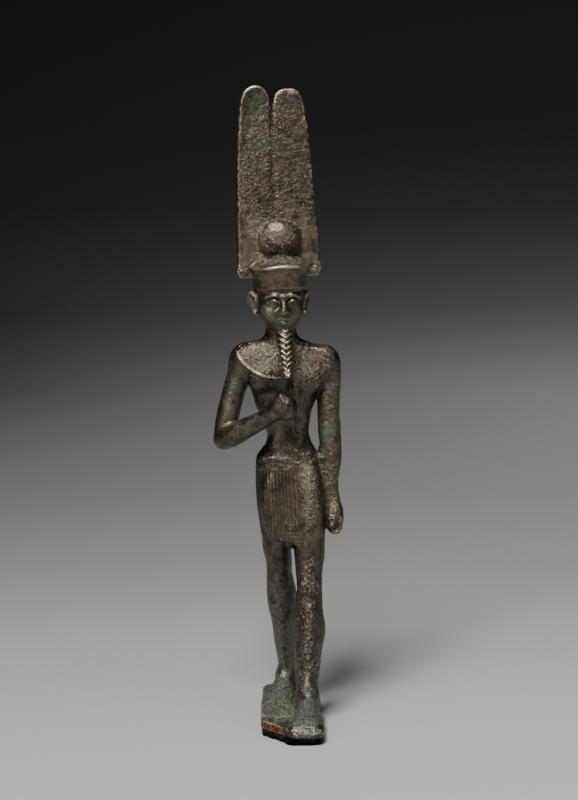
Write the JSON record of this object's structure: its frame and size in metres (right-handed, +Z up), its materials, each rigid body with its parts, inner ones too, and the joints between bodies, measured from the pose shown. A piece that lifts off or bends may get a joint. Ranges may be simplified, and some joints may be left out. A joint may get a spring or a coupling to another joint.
{
  "type": "striding god statuette",
  "caption": "Small solid-cast bronze figure of a striding god in a pleated kilt, with plaited beard, sun disc and two tall plumes, on its own thin foot plate.",
  "frame": {"origin": "middle of the foot plate's underside", "axes": "+Z up along the figure, the figure faces -Y, +X to the viewer's right"},
  "size_m": [0.041, 0.0524, 0.2006],
  "materials": {
    "bronze": "old cast bronze, dark brown patina with olive bloom, corroded and partly worn bright on its edges"
  },
  "bodies": {
    "root": {"statuette": "bronze"}
  },
  "joints": []
}
